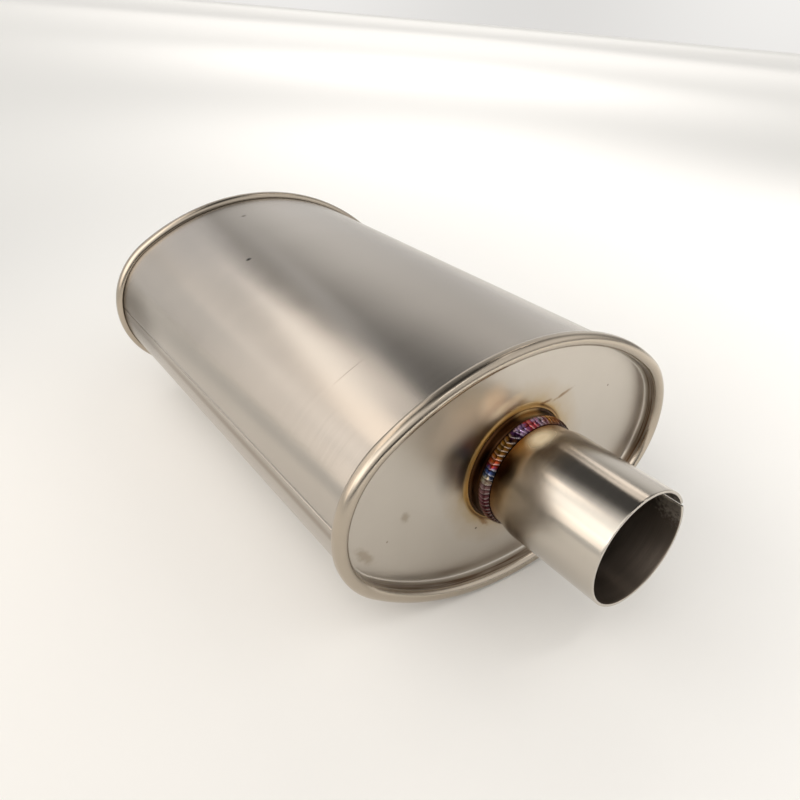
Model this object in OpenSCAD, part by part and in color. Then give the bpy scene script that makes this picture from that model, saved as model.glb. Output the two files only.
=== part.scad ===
// Oval stainless steel muffler, straight-through, with rolled rims, recessed caps and slip-on pipe sockets.
// The pipes lie along X, the oval's long axis along Y and its short axis along Z. The origin is the centre.

/* [Oval body] */
// Width across the rims, along the oval's long axis
rim_w = 236; // [224:1:250]
// Height across the rims, along the oval's short axis
rim_h = 152.8; // [148:0.4:162]
// Length over both rims
body_l = 318; // [200:2:500]

/* [Sheet] */
// Thickness of the outer shell
shell_t = 0.9; // [0.7:0.1:1]
// Thickness of the inner shell
lining_t = 0.8; // [0.6:0.1:1]
// Thickness of the end caps
cap_t = 1.5; // [1.2:0.1:1.6]
// Clearance between sheets that are rolled or folded together
sheet_gap = 0.15; // [0.1:0.05:0.2]

/* [Rolled rims] */
// Width of a rim along the body
bead_w = 8.6; // [8:0.2:11]
// Height of a rim, from its outline in to the wall of the recess
bead_h = 7.2; // [7:0.2:8]
// Height of the shell's turned-out edge inside the rim
hook_h = 1.9; // [1.6:0.1:2]
// Depth of the cap's face below the front of the rim
recess_d = 10.1; // [9:0.5:20]
// Radius of the corner between the recess wall and the face
recess_r = 1.2; // [0.8:0.1:3]

/* [Lock seam] */
// Width of the folded lock seam
seam_w = 9; // [7:0.5:12]
// Distance from each cap's inside face to the end of the folded layers
seam_end = 0.3; // [0.3:0.1:5]
// Radius of the fold's visible edge
fold_round = 1.1; // [0.8:0.1:1.2]

/* [Collars] */
// Height of the collar above the cap's face
collar_h = 6.7; // [6:0.1:9]
// Clearance between the collar and the neck
collar_gap = 0.15; // [0.1:0.05:0.3]
// Radius of the bend at the collar's foot
collar_bend = 2.6; // [2:0.1:3.5]
// Height of the pressed ridge round the collar's foot
ridge_h = 1.4; // [0.8:0.1:1.8]

/* [Pipe stubs] */
// Outside diameter of the neck
neck_d = 60; // [45:0.5:64]
// Outside diameter of the pipe that slips into the socket
mate_d = 60; // [45:0.5:64]
// Clearance on diameter between the socket and that pipe
mate_gap = 0.5; // [0.3:0.1:1]
// Wall of the stub
pipe_t = 1.5; // [1.2:0.1:2]
// Length of the socket
socket_l = 55; // [40:1:62]
// Length of the flare between neck and socket
flare_l = 12; // [8:1:14]
// Distance from the cap's face to the mouth
pipe_out = 82.6; // [82:0.2:120]
// Length of neck inside the cap
pipe_in = 18; // [16:1:40]
// Width of the clamp slot
slot_w = 3; // [2:0.5:4]
// Length of the clamp slot
slot_l = 35; // [20:1:38]
// Angle of the clamp slot above the long axis
slot_angle = 30; // [0:5:90]

/* [Welds] */
// Length of the outer weld along the neck
weld_l = 4.8; // [4:0.2:6]
// Swell of the outer weld beyond its chord
weld_swell = 0.6; // [0.4:0.1:0.8]
// Length of the weld between core tube and neck
core_weld_l = 3; // [2:0.5:4]

/* [Core] */
// Wall of the core tube
core_t = 1.2; // [1:0.1:1.6]
// Radial clearance of the core tube in the necks
core_gap = 0.2; // [0.1:0.05:0.3]
// Length of core tube inside each neck
core_lap = 14; // [8:1:15]
// Diameter of the perforations
hole_d = 5; // [3:0.5:7]
// Distance between rows of perforations
hole_pitch = 14; // [10:1:20]
// Perforations in a row, an even number
holes_round = 12; // [8:2:16]
// Plain length at each end of the core tube, from the weld to the first row
hole_margin = 12; // [8:1:30]

/* [Packing] */
// Thickness of the steel wool sleeve
wool_t = 6; // [3:1:10]
// Clearance round each layer of packing
pack_gap = 0.3; // [0.2:0.1:0.5]
// Half the distance between the two side pads, over the core
pad_tip = 25; // [15:1:35]

/* [Hidden] */
$fn = 96;
skin = 0.01;  // how far a cutting shape runs past the face that it cuts
small_fn = 24;  // facets of the small circles in a profile

// The oval has four arcs. The lines through their centres are the long sides of 3-4-5 triangles, so that
// the arcs meet without a corner and every centre and radius is a plain number.
end_c = 3 / 4 * (rim_w - rim_h);
side_c = rim_w - rim_h;
end_r = rim_w / 2 - end_c;
side_r = rim_w - rim_h / 2;
triangle = [3, 4, 5];

// Offsets from the rims' outline, inward negative, with each sheet laid on the one outside it
lining_out = -bead_h + cap_t + sheet_gap + lining_t;
shell_out = lining_out + sheet_gap + shell_t;
lining_in = lining_out - lining_t;
shell_in = shell_out - shell_t;
pack_out = lining_in - pack_gap;

// Stations along X
bead_x = (body_l - bead_w) / 2;
face_x = body_l / 2 - recess_d;
inside_x = face_x - cap_t;
mouth_x = face_x + pipe_out;
tip_x = face_x + collar_h;
neck_x = inside_x - pipe_in;
seam_x = inside_x - seam_end;
crease_x = bead_x - bead_w / 2;

// Radii round the pipe's axis
neck_r = neck_d / 2;
socket_r = (mate_d + mate_gap) / 2 + pipe_t;
collar_in = neck_r + collar_gap;
collar_r = collar_in + cap_t;
bend_r = collar_r + collar_bend;
core_r = neck_r - pipe_t - core_gap;
wool_r = core_r + pack_gap + wool_t;
wrap_r = rim_h / 2 + pack_out;

// The oval outline lies in the drawing plane, and its stations rise along X of the muffler
module along_x() {
    rotate([90, 0, 90]) children();
}

// A profile, drawn as offset from the outline against station, turned about one arc's centre and cut off
// at the two lines through the centres
module arc_sweep(centre, r, to_side) {
    far = rim_w;
    intersection() {
        translate(centre) rotate_extrude() translate([r, 0]) children();
        linear_extrude(4 * body_l, center = true)
            polygon([for (corner = [[0, 0], [1, 1], [to_side, -to_side]])
                [centre.x + corner.x * triangle.x * far, centre.y + corner.y * triangle.y * far]]);
    }
}

// A profile carried round the whole oval
module oval_sweep() {
    along_x() for (turn = [0, 180]) rotate(turn) {
        arc_sweep([end_c, 0], end_r, 1) children();
        arc_sweep([0, -side_c], side_r, -1) children();
    }
}

// A profile, drawn as radius against station, turned round the pipe's axis
module turned() {
    along_x() rotate_extrude() children();
}

module tube(r, t, x0, x1) {
    turned() translate([r - t, x0]) square([t, x1 - x0]);
}

// The filled oval: a rectangle through the four joints of the arcs, and the four segments outside it
module oval_area(offset_by) {
    jx = end_c + (end_r + offset_by) * triangle.x / triangle.z;
    jy = (end_r + offset_by) * triangle.y / triangle.z;
    square([2 * jx, 2 * jy], center = true);
    for (turn = [0, 180]) rotate(turn) {
        intersection() {
            translate([end_c, 0]) circle(end_r + offset_by);
            translate([jx, -jy]) square([end_r, 2 * jy]);
        }
        intersection() {
            translate([0, -side_c]) circle(side_r + offset_by, $fn = 2 * $fn);
            translate([-jx, jy]) square([2 * jx, rim_h]);
        }
    }
}

// Sheet that runs straight between two stations at either side of the middle
module oval_tube(outer, inner, to_x) {
    along_x() translate([0, 0, -to_x]) linear_extrude(2 * to_x) difference() {
        oval_area(outer);
        oval_area(inner);
    }
}

// Part of a band of sheet bent to an arc, between two angles less than 180 degrees apart
module arc_band(r, t, from, to) {
    intersection() {
        difference() {
            circle(r, $fn = 2 * $fn);
            circle(r - t, $fn = 2 * $fn);
        }
        polygon([[0, 0], 2 * r * [cos(from), sin(from)], 2 * r * [cos(to), sin(to)]]);
    }
}

// A quarter of a ring in the quadrant that the two signs point to
module quarter_ring(r, t, sx, sy) {
    intersection() {
        difference() {
            circle(r, $fn = small_fn);
            circle(r - t, $fn = small_fn);
        }
        translate([sx > 0 ? 0 : -r, sy > 0 ? 0 : -r]) square(r);
    }
}

// Both ends of a piece that is made for the front
module at_rear() {
    mirror([1, 0, 0]) children();
}

// The lock seam. The lower edge of the sheet folds in and back, and the upper edge dives under that fold,
// runs past it and folds back into it, so that four layers lie hooked together and the outside stays flush.
// It is a block of four layers with the clearance between them cut out as one winding gap. The folded layers
// end inside the caps, and from there to the rims only the fold's edge goes on, as a shallow groove.
seam_r = end_r + shell_out;
seam_deep = 4 * shell_t + 3 * sheet_gap;
function seam_turn(length) = length / seam_r * 180 / PI;
fold_at = 180;
sheet_turn = seam_turn(shell_t);
gap_turn = seam_turn(sheet_gap);
crevice_at = fold_at - gap_turn;
leg_at = crevice_at - sheet_turn;
inner_at = fold_at + sheet_turn;
far_at = fold_at + seam_turn(seam_w);
tail_at = far_at - sheet_turn;

// The fold's visible edge, rounded, as the shape that is cut away beside it
module fold_edge(r) {
    rotate(fold_at) translate([seam_r - r, 0]) difference() {
        translate([0, -sheet_gap / 2]) square([2 * r, r + sheet_gap / 2]);
        translate([0, r]) circle(r, $fn = small_fn);
    }
}

module seam_gap() {
    layer = shell_t + sheet_gap;
    arc_band(seam_r + shell_t, seam_deep, crevice_at, fold_at);
    arc_band(seam_r - 3 * shell_t - 2 * sheet_gap, sheet_gap, crevice_at, tail_at);
    arc_band(seam_r - shell_t - layer, layer + sheet_gap, tail_at - gap_turn, tail_at);
    arc_band(seam_r - shell_t - layer, sheet_gap, inner_at, tail_at);
    arc_band(seam_r - shell_t, layer + sheet_gap, inner_at, inner_at + gap_turn);
    arc_band(seam_r - shell_t, sheet_gap, inner_at, far_at + gap_turn);
    fold_edge(fold_round);
}

module along_seam(to_x) {
    along_x() translate([-end_c, 0, -to_x]) linear_extrude(2 * to_x) children();
}

// The shell's edge turns out inside the rim, against the crown of the roll
hook_bend = shell_t + sheet_gap;
hook_x = bead_x + (bead_w - bead_h) / 2;
module shell_edge() {
    translate([shell_in + hook_bend, hook_x - hook_bend]) quarter_ring(hook_bend, shell_t, -1, 1);
    translate([shell_in + hook_bend, hook_x - shell_t]) square([hook_h + shell_t - hook_bend, shell_t]);
}

module outer_shell() {
    color("#b9b5ae") difference() {
        union() {
            oval_tube(shell_out, shell_in, hook_x - hook_bend);
            for (end = [0, 1]) mirror([end, 0, 0]) oval_sweep() shell_edge();
            along_seam(seam_x) arc_band(seam_r - shell_t / 2, seam_deep - shell_t / 2, leg_at, far_at);
        }
        along_seam(seam_x) seam_gap();
        along_seam(crease_x) fold_edge(shell_t / 2);
    }
}

// Room in the lining and the packing for the folded layers of the lock seam
module seam_room(gap) {
    along_x() translate([-end_c, 0, -body_l]) linear_extrude(2 * body_l)
        arc_band(seam_r, seam_deep + gap, leg_at - seam_turn(gap), far_at + seam_turn(gap));
}

module inner_shell() {
    color("#a7a39c") difference() {
        oval_tube(lining_out, lining_in, bead_x);
        seam_room(sheet_gap);
    }
}

// The rim's profile: the cap's wall runs forward out of the recess and rolls over and back onto the shell
module rim_area(inset) {
    r = bead_h / 2 - inset;
    half = (bead_w - bead_h) / 2;
    for (side = [-half, half]) translate([-bead_h / 2, bead_x + side]) circle(r, $fn = small_fn);
    translate([-bead_h / 2 - r, bead_x - half]) square([2 * r, 2 * half]);
}

module cap_edge() {
    difference() {
        rim_area(0);
        rim_area(cap_t);
        translate([-2 * bead_h, bead_x - bead_w]) square([2 * bead_h + shell_out + sheet_gap, bead_w]);
    }
    translate([-bead_h, face_x + recess_r]) square([cap_t, bead_x - face_x - recess_r + skin]);
    translate([-bead_h - recess_r, face_x + recess_r]) quarter_ring(recess_r + cap_t, cap_t, 1, -1);
    translate([-bead_h - recess_r - cap_t, inside_x]) square([cap_t, cap_t]);
}

// The collar: the sheet bends out round the neck, with a pressed ridge round its foot
module collar_profile() {
    translate([bend_r, face_x + collar_bend]) quarter_ring(collar_bend + cap_t, cap_t, -1, -1);
    translate([collar_in, face_x + collar_bend]) square([cap_t, collar_h - collar_bend]);
    difference() {
        union() {
            translate([bend_r, inside_x]) square([3 * cap_t, cap_t]);
            intersection() {
                translate([bend_r, face_x]) circle(ridge_h, $fn = small_fn);
                translate([bend_r - ridge_h, face_x - cap_t / 2]) square(2 * ridge_h);
            }
        }
        translate([bend_r, inside_x]) circle(ridge_h / 2, $fn = small_fn);
    }
}

module end_cap() {
    oval_sweep() cap_edge();
    along_x() translate([0, 0, inside_x]) linear_extrude(cap_t) difference() {
        oval_area(-bead_h - recess_r - cap_t / 2);
        circle(bend_r + 2 * cap_t);
    }
    turned() collar_profile();
}

module front_end_cap() {
    color("#b5aca2") end_cap();
}

module rear_end_cap() {
    color("#b5aca2") at_rear() end_cap();
}

// The stub: neck, flare with an easy S-curve, and socket
flare_steps = 12;
function ease(s) = s * s * (3 - 2 * s);
flare_x = mouth_x - socket_l - flare_l;
function stub_line(r_neck, r_socket) = concat(
    [[r_neck, neck_x]],
    [for (i = [0:flare_steps]) [r_neck + (r_socket - r_neck) * ease(i / flare_steps),
                                flare_x + flare_l * i / flare_steps]],
    [[r_socket, mouth_x]]);
function turned_back(list) = [for (i = [len(list) - 1:-1:0]) list[i]];

module pipe_stub() {
    difference() {
        turned() polygon(concat(stub_line(neck_r, socket_r),
                                turned_back(stub_line(neck_r - pipe_t, socket_r - pipe_t))));
        rotate([slot_angle, 0, 0]) translate([mouth_x - slot_l + slot_w / 2, 0, 0]) {
            rotate([-90, 0, 0]) cylinder(d = slot_w, h = 2 * socket_r);
            translate([0, 0, -slot_w / 2]) cube([slot_l, 2 * socket_r, slot_w]);
        }
    }
}

module front_pipe() {
    color("#c4bdb2") pipe_stub();
}

module rear_pipe() {
    color("#c4bdb2") at_rear() pipe_stub();
}

// The outer weld lies on the collar's tip and against the neck, with a round back
weld_foot = [collar_r + collar_gap, tip_x];
weld_head = [neck_r, tip_x + weld_l];
module pipe_weld() {
    chord = norm(weld_head - weld_foot);
    r = (chord ^ 2 / 4 + weld_swell ^ 2) / (2 * weld_swell);
    along = (weld_head - weld_foot) / chord;
    centre = (weld_foot + weld_head) / 2 + (r - weld_swell) * [-along.y, along.x];
    turned() intersection() {
        translate(centre) circle(r);
        translate([neck_r, tip_x]) square(weld_l);
    }
}

module front_pipe_weld() {
    color("#8a6a74") pipe_weld();
}

module rear_pipe_weld() {
    color("#8a6a74") at_rear() pipe_weld();
}

core_end = neck_x + core_lap;
module core_tube() {
    row_room = neck_x - core_weld_l - hole_margin - hole_d / 2;
    rows = floor(row_room / hole_pitch);
    color("#8f8b86") difference() {
        tube(core_r, core_t, -core_end, core_end);
        for (row = [-rows:rows], spoke = [0:holes_round - 1])
            translate([row * hole_pitch, 0, 0])
                rotate([(spoke + abs(row) % 2 / 2 + 0.25) * 360 / holes_round, 0, 0])
                    translate([0, 0, core_r - 2 * core_t])
                        cylinder(d = hole_d, h = 3 * core_t, $fn = small_fn);
    }
}

// The weld between the core tube and the end of the neck is a plain fillet
module core_weld() {
    turned() polygon([[core_r, neck_x - core_weld_l], [neck_r, neck_x], [core_r, neck_x]]);
}

module front_core_weld() {
    color("#77706b") core_weld();
}

module rear_core_weld() {
    color("#77706b") at_rear() core_weld();
}

module steel_wool() {
    end = neck_x - core_weld_l - pack_gap;
    color("#84827f") tube(wool_r, wool_t, -end, end);
}

pack_end = inside_x - pack_gap;
module packing_wrap() {
    thickness = wrap_r - wool_r - pack_gap;
    color("#e4dfcf") tube(wrap_r, thickness, -pack_end, pack_end);
}

// A side pad fills the end of the oval beside the rolled mat
module side_pad(side) {
    difference() {
        along_x() translate([0, 0, -pack_end]) linear_extrude(2 * pack_end) difference() {
            intersection() {
                oval_area(pack_out);
                translate([side > 0 ? pad_tip : -rim_w, -rim_h]) square([rim_w - pad_tip, 2 * rim_h]);
            }
            circle(wrap_r + pack_gap);
        }
        seam_room(pack_gap);
    }
}

module packing_left() {
    color("#ddd6c4") side_pad(-1);
}

module packing_right() {
    color("#ddd6c4") side_pad(1);
}

outer_shell();
inner_shell();
front_end_cap();
rear_end_cap();
front_pipe();
rear_pipe();
front_pipe_weld();
rear_pipe_weld();
core_tube();
front_core_weld();
rear_core_weld();
steel_wool();
packing_wrap();
packing_left();
packing_right();
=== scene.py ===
# %% [markdown]
# An oval exhaust muffler in stainless steel, modelled and shaded for a studio picture.
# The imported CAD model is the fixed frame: it says where every piece sits and how large it is. The sheet
# metal is modelled again here on those places, because a thin polished sheet shows every facet in what it
# mirrors, and the pieces inside keep their CAD shapes and only get a finish.

# %% Load the frame
from math import asin, atan, atan2, cos, pi, radians, sin, sqrt

import bmesh
import bpy
from mathutils import Matrix, Vector, noise


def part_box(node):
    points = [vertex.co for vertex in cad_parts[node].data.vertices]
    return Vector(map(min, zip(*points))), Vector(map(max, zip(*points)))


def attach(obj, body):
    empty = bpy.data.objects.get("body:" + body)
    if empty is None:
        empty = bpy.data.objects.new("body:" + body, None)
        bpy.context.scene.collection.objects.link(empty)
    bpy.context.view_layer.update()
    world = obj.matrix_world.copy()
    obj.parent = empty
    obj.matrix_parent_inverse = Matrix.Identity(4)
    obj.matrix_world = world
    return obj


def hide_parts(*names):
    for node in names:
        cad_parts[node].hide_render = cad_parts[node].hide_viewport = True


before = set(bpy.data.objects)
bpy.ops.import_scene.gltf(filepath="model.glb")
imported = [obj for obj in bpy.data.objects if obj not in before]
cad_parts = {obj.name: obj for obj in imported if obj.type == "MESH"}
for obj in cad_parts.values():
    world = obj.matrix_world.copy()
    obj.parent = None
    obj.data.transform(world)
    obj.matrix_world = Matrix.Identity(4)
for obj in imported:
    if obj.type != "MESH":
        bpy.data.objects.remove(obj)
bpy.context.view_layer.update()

print("CAD nodes:", sorted(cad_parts))

# %% [markdown]
# A maker measures before bending anything. The outline of the rims and the stub's two ends and width come
# from the frame. What a bounding box can't tell, such as a sheet's thickness or a bend's radius, is given in
# millimetres, as on a workshop drawing. Points nearer than TOUCHING count as one.

# %% Measure the frame
MM = 0.001
TOUCHING = 0.01 * MM
cap_low, cap_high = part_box("front_end_cap")
pipe_low, pipe_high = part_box("front_pipe")
rim_w = cap_high.y - cap_low.y
rim_h = cap_high.z - cap_low.z
rim_x = cap_high.x
mouth_x = pipe_high.x
inner_end_x = pipe_low.x
socket_r = pipe_high.y
print(f"rims {rim_w / MM:.1f} x {rim_h / MM:.1f} mm, mouth {mouth_x / MM:.1f} mm from the middle")
print(f"sockets {2 * socket_r / MM:.1f} mm across")

# %% Sheet and bend sizes
shell_t = 0.9 * MM
cap_t = 1.5 * MM
pipe_t = 1.5 * MM
bead_w = 8.6 * MM
bead_h = 7.2 * MM
recess_d = 10.1 * MM
recess_r = 1.2 * MM
collar_h = 6.7 * MM
neck_r = 30 * MM
weld_room = 0.15 * MM
collar_r = neck_r + weld_room + cap_t
shell_offset = -3.7 * MM
face_x = rim_x - recess_d
tip_x = face_x + collar_h
print(f"the caps' faces stand {face_x / MM:.1f} mm from the middle")

# %% [markdown]
# The oval is the four-arc oval of a drawing board: two tight arcs round the ends and two wide arcs over the
# top and bottom. The centres lie on the legs of 3-4-5 triangles, so that the arcs meet without a corner.
# A press tool for such a cap is turned from the same four centres.

# %% The oval's four arcs
end_centre = 3 / 4 * (rim_w - rim_h)
side_centre = rim_w - rim_h
end_r = rim_w / 2 - end_centre
joint_angle = atan(4 / 3)
side_angle = pi - 2 * joint_angle
end_steps = 24
side_steps = 52
steps_round = 4 * end_steps + 2 * side_steps
print(f"end arcs {end_r / MM:.1f} mm in radius, {steps_round} steps round")

# %% [markdown]
# Sheet metal is straight runs and bends, so the profiles are drawn that way: a run adds an edge, and a bend
# spins the last point about the centre of the bend. A profile lies in the plane z = 0, with the station
# along X and the distance from the axis along Y, and a round piece is its profile turned once about the axis.


# %% Runs and bends
def start(bm, x, y):
    return bm.verts.new((x, y, 0))


def run(bm, last, x, y, parts=1):
    """Straight edges from the last point to a new one."""
    first = last.co.copy()
    for part in range(1, parts + 1):
        fresh = bm.verts.new(first.lerp(Vector((x, y, 0)), part / parts))
        bm.edges.new((last, fresh))
        last = fresh
    return last


def bend(bm, last, centre, angle, steps, axis=(0, 0, 1)):
    """An arc from the last point about a centre, anticlockwise positive."""
    spun = bmesh.ops.spin(bm, geom=[last], cent=centre, axis=axis, angle=angle, steps=steps)
    return [item for item in spun["geom_last"] if isinstance(item, bmesh.types.BMVert)][0]


def turn_round(bm, steps):
    """The whole profile turned once about the muffler's axis."""
    bmesh.ops.spin(bm, geom=list(bm.verts) + list(bm.edges), cent=(0, 0, 0), axis=(1, 0, 0),
                   angle=2 * pi, steps=steps, use_merge=True)


# %% [markdown]
# Every metal piece is finished in the same way. What belongs to the far end is mirrored, the ends of the
# spins are merged, the faces are turned outwards, and the mesh becomes an object on the muffler's one body.
# The wall of a sheet comes last, from a Solidify modifier that thickens it inwards.

# %% From mesh to piece
def finish_mesh(bm, name, modifiers=(), side=1):
    """Makes the mesh a piece of the muffler. A negative side mirrors it to the far end."""
    if side < 0:
        bmesh.ops.scale(bm, verts=bm.verts, vec=(-1, 1, 1))
    bmesh.ops.remove_doubles(bm, verts=bm.verts, dist=TOUCHING)
    bmesh.ops.recalc_face_normals(bm, faces=bm.faces)
    for face in bm.faces:
        face.smooth = True
    mesh = bpy.data.meshes.new(name)
    bm.to_mesh(mesh)
    bm.free()
    piece = bpy.data.objects.new(name, mesh)
    bpy.context.scene.collection.objects.link(piece)
    for kind, settings in modifiers:
        modifier = piece.modifiers.new(kind.title(), kind)
        for key, value in settings.items():
            setattr(modifier, key, value)
    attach(piece, "root")
    print(name, len(mesh.polygons), "faces")
    return piece


def wall(thickness):
    return "SOLIDIFY", dict(thickness=thickness, offset=-1, use_even_offset=True)


def soft_edge(width):
    return "BEVEL", dict(width=width, segments=2, limit_method="ANGLE", angle_limit=radians(50))


# %% [markdown]
# The camera stands where the photographer's stood. Its place was found from the outlines of the rims and
# the pipe, and is written as an aim point, a distance and three angles.

# %% Camera
PHOTO_SIDE = 800
focal_px = 706.5
aim = Vector((63.3, -14.6, 0.45)) * MM
distance = 433.2 * MM
azimuth = radians(38.44)
elevation = radians(28.57)
roll = radians(5.1)

camera_data = bpy.data.cameras.new("camera")
camera_data.sensor_width = 36
camera_data.lens = focal_px / PHOTO_SIDE * camera_data.sensor_width
camera_data.clip_start = 10 * MM
camera = bpy.data.objects.new("camera", camera_data)
bpy.context.scene.collection.objects.link(camera)
back = Vector((cos(elevation) * cos(azimuth), -cos(elevation) * sin(azimuth), sin(elevation)))
level = Vector((sin(azimuth), cos(azimuth), 0))
facing = Matrix((level, back.cross(level), back)).transposed().to_4x4()
camera.matrix_world = Matrix.Translation(aim + back * distance) @ facing @ Matrix.Rotation(roll, 4, "Z")
bpy.context.scene.camera = camera
print("camera at", [round(value / MM) for value in camera.location], "mm")

# %% [markdown]
# The shell is one sheet bent round the oval and closed by a folded lock seam at one end. Its outline is
# drawn in one go, point by point round the four arcs, with the crevice of the seam and the rounded edge of
# the fold, and is then pulled along X like a drawn curtain. A solidify modifier gives the sheet its wall.

# %% Outer shell
shell_r = end_r + shell_offset
fold_r = 1.1 * MM
crevice_w = 0.35 * MM
crevice_depth = 1.2 * MM
shell_end_x = rim_x - bead_w / 2
shell_stations = 60
fold_steps = 5


def make_shell():
    """The outline with its seam, pulled along X in even steps."""
    bm = bmesh.new()
    along_x = (1, 0, 0)
    fold_turn = fold_r / shell_r
    gap_turn = crevice_w / shell_r
    seam_side = (0, -end_centre, 0)
    first = bm.verts.new((-shell_end_x, -end_centre - shell_r * cos(fold_turn), -shell_r * sin(fold_turn)))
    last = bend(bm, first, seam_side, joint_angle - fold_turn, end_steps, along_x)
    last = bend(bm, last, (0, 0, side_centre), side_angle, side_steps, along_x)
    last = bend(bm, last, (0, end_centre, 0), 2 * joint_angle, 2 * end_steps, along_x)
    last = bend(bm, last, (0, 0, -side_centre), side_angle, side_steps, along_x)
    last = bend(bm, last, seam_side, joint_angle - gap_turn, end_steps, along_x)
    deep = bm.verts.new(last.co + Vector((0, crevice_depth, 0)))
    foot = bm.verts.new(deep.co - Vector((0, 0, crevice_w)))
    lip = bm.verts.new((-shell_end_x, first.co.y + fold_r, foot.co.z))
    for pair in ((last, deep), (deep, foot), (foot, lip)):
        bm.edges.new(pair)
    last = bend(bm, lip, (0, first.co.y + fold_r, lip.co.z - fold_r), pi / 2, fold_steps, along_x)
    bm.edges.new((last, first))
    outline = list(bm.edges)
    for station in range(shell_stations):
        pulled = bmesh.ops.extrude_edge_only(bm, edges=outline)["geom"]
        moved = [item for item in pulled if isinstance(item, bmesh.types.BMVert)]
        outline = [item for item in pulled if isinstance(item, bmesh.types.BMEdge)]
        bmesh.ops.translate(bm, verts=moved, vec=(2 * shell_end_x / shell_stations, 0, 0))
    return finish_mesh(bm, "shell_sheet", [wall(shell_t)])


shell = make_shell()
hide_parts("outer_shell")

# %% [markdown]
# A cap is pressed from one blank: a flat face, a drawn collar for the pipe in the middle, a recess wall all
# round, and an edge that a rolling machine curls over the shell. The edge is an oval profile and the collar
# a round one. Both are spun with the same number of steps, so that the flat face bridges them with plain
# quads. A few cuts make these fine enough to be pushed slightly out of true, as pressed sheet is. The rolled
# edge and the recess wall each carry a number that their steel is later told apart by.

# %% End caps
collar_bend = 2.6 * MM
bend_r = collar_r + collar_bend
hollow_angle = radians(58.7)
hollow_end_x = face_x + 0.9 * MM
crest_r = 34 * MM
crest_bend = 0.55 * MM
crest_x = face_x + 0.84 * MM
crest_angle = radians(125)
crest_slope = 1.8 * MM
flat_ring_w = 1 * MM
roll_r = bead_h / 2
roll_shift = (bead_w - bead_h) / 2
bead_x = rim_x - bead_w / 2
tuck_angle = radians(88)
hair_inside = 0.001 * MM
face_cuts = 10
face_wave = 0.12 * MM
wave_length = 28 * MM


def spin_oval(bm):
    """Carries the profile in the mesh round the oval, one arc after the other."""
    geometry = list(bm.verts) + list(bm.edges)
    arcs = [((0, end_centre, 0), joint_angle, end_steps),
            ((0, 0, -side_centre), side_angle, side_steps),
            ((0, -end_centre, 0), 2 * joint_angle, 2 * end_steps),
            ((0, 0, side_centre), side_angle, side_steps),
            ((0, end_centre, 0), joint_angle, end_steps)]
    for centre, angle, steps in arcs:
        spun = bmesh.ops.spin(bm, geom=geometry, cent=centre, axis=(1, 0, 0), angle=angle, steps=steps)
        geometry = spun["geom_last"]


def roll_rim(bm):
    """The oval edge: a small bend out of the face, the recess wall, and the curl over the shell."""
    # A hair is left, so that rounding never carries the rim past the CAD model's box.
    edge_y = rim_w / 2 - hair_inside
    rolled = bm.verts.layers.float.new("rolled")
    # The recess wall's number marks where its painted shade goes.
    wall_shade_and_highlight = bm.verts.layers.float.new("wall_shade_and_highlight")
    last = start(bm, face_x, edge_y - bead_h - recess_r)
    last = bend(bm, last, (face_x + recess_r, edge_y - bead_h - recess_r, 0), -pi / 2, steps=6)
    bent = set(bm.verts)
    last = run(bm, last, bead_x + roll_shift, edge_y - bead_h, parts=3)
    flat = set(bm.verts)
    last = bend(bm, last, (bead_x + roll_shift, edge_y - roll_r, 0), pi, steps=20)
    last = run(bm, last, bead_x - roll_shift, edge_y)
    bend(bm, last, (bead_x - roll_shift, edge_y - roll_r, 0), tuck_angle, steps=10)
    for v in bm.verts:
        v[rolled] = float(v not in flat)
        v[wall_shade_and_highlight] = float(v in flat and v not in bent)
    spin_oval(bm)


def draw_collar(bm):
    """The round collar, the hollow at its foot, and the low crest that slopes away into the face."""
    last = start(bm, tip_x, collar_r)
    last = run(bm, last, face_x + collar_bend, collar_r, parts=2)
    last = bend(bm, last, (face_x + collar_bend, bend_r, 0), -hollow_angle, steps=5)
    last = run(bm, last, hollow_end_x, crest_r - crest_bend)
    last = bend(bm, last, (crest_x, crest_r, 0), crest_angle, steps=8)
    top = last.co.copy()
    slope_foot = Vector((face_x, crest_r + crest_slope, 0))
    for share in (0.2, 0.4, 0.6, 0.8, 1.0):
        eased = share * share * (3 - 2 * share)
        place = top.lerp(slope_foot, share)
        last = run(bm, last, top.x + (face_x - top.x) * eased, place.y)
    run(bm, last, face_x, crest_r + crest_slope + flat_ring_w)
    turn_round(bm, steps_round)


def make_cap(name, side):
    """The rolled rim and the collar, with the flat face bridged between them."""
    bm = bmesh.new()
    roll_rim(bm)
    collar = bmesh.new()
    draw_collar(collar)
    # One bmesh can't join another, so the collar goes over by way of a mesh.
    carrier = bpy.data.meshes.new("carrier")
    collar.to_mesh(carrier)
    collar.free()
    bm.from_mesh(carrier)
    bpy.data.meshes.remove(carrier)
    bmesh.ops.remove_doubles(bm, verts=bm.verts, dist=TOUCHING)
    facing_edges = [e for e in bm.edges if e.is_boundary
                    and all(abs(v.co.x - face_x) < TOUCHING for v in e.verts)]
    bridged = bmesh.ops.bridge_loops(bm, edges=facing_edges)
    cut = bmesh.ops.subdivide_edges(bm, edges=bridged["edges"], cuts=face_cuts, use_grid_fill=True)
    pressed = {item for item in cut["geom_inner"] if isinstance(item, bmesh.types.BMVert)}
    for v in pressed:
        v.co.x += noise.noise(v.co / wave_length) * face_wave
    print(len(pressed), "points of the face pushed out of true")
    return finish_mesh(bm, name, [wall(cap_t)], side)


front_cap = make_cap("front_cap_sheet", 1)
rear_cap = make_cap("rear_cap_sheet", -1)
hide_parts("front_end_cap")
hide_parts("rear_end_cap")

# %% [markdown]
# The stub starts as plain tube. Its outer end is swelled on a mandrel until the next pipe slips in, which
# leaves two easy bends between neck and socket, and one slot is sawn into the mouth so that a clamp can
# close it. The slot's columns are spun first, narrow and fine, so that its round end is true. The inner side
# of the wall takes the piece's second material, because it is never polished.

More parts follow.
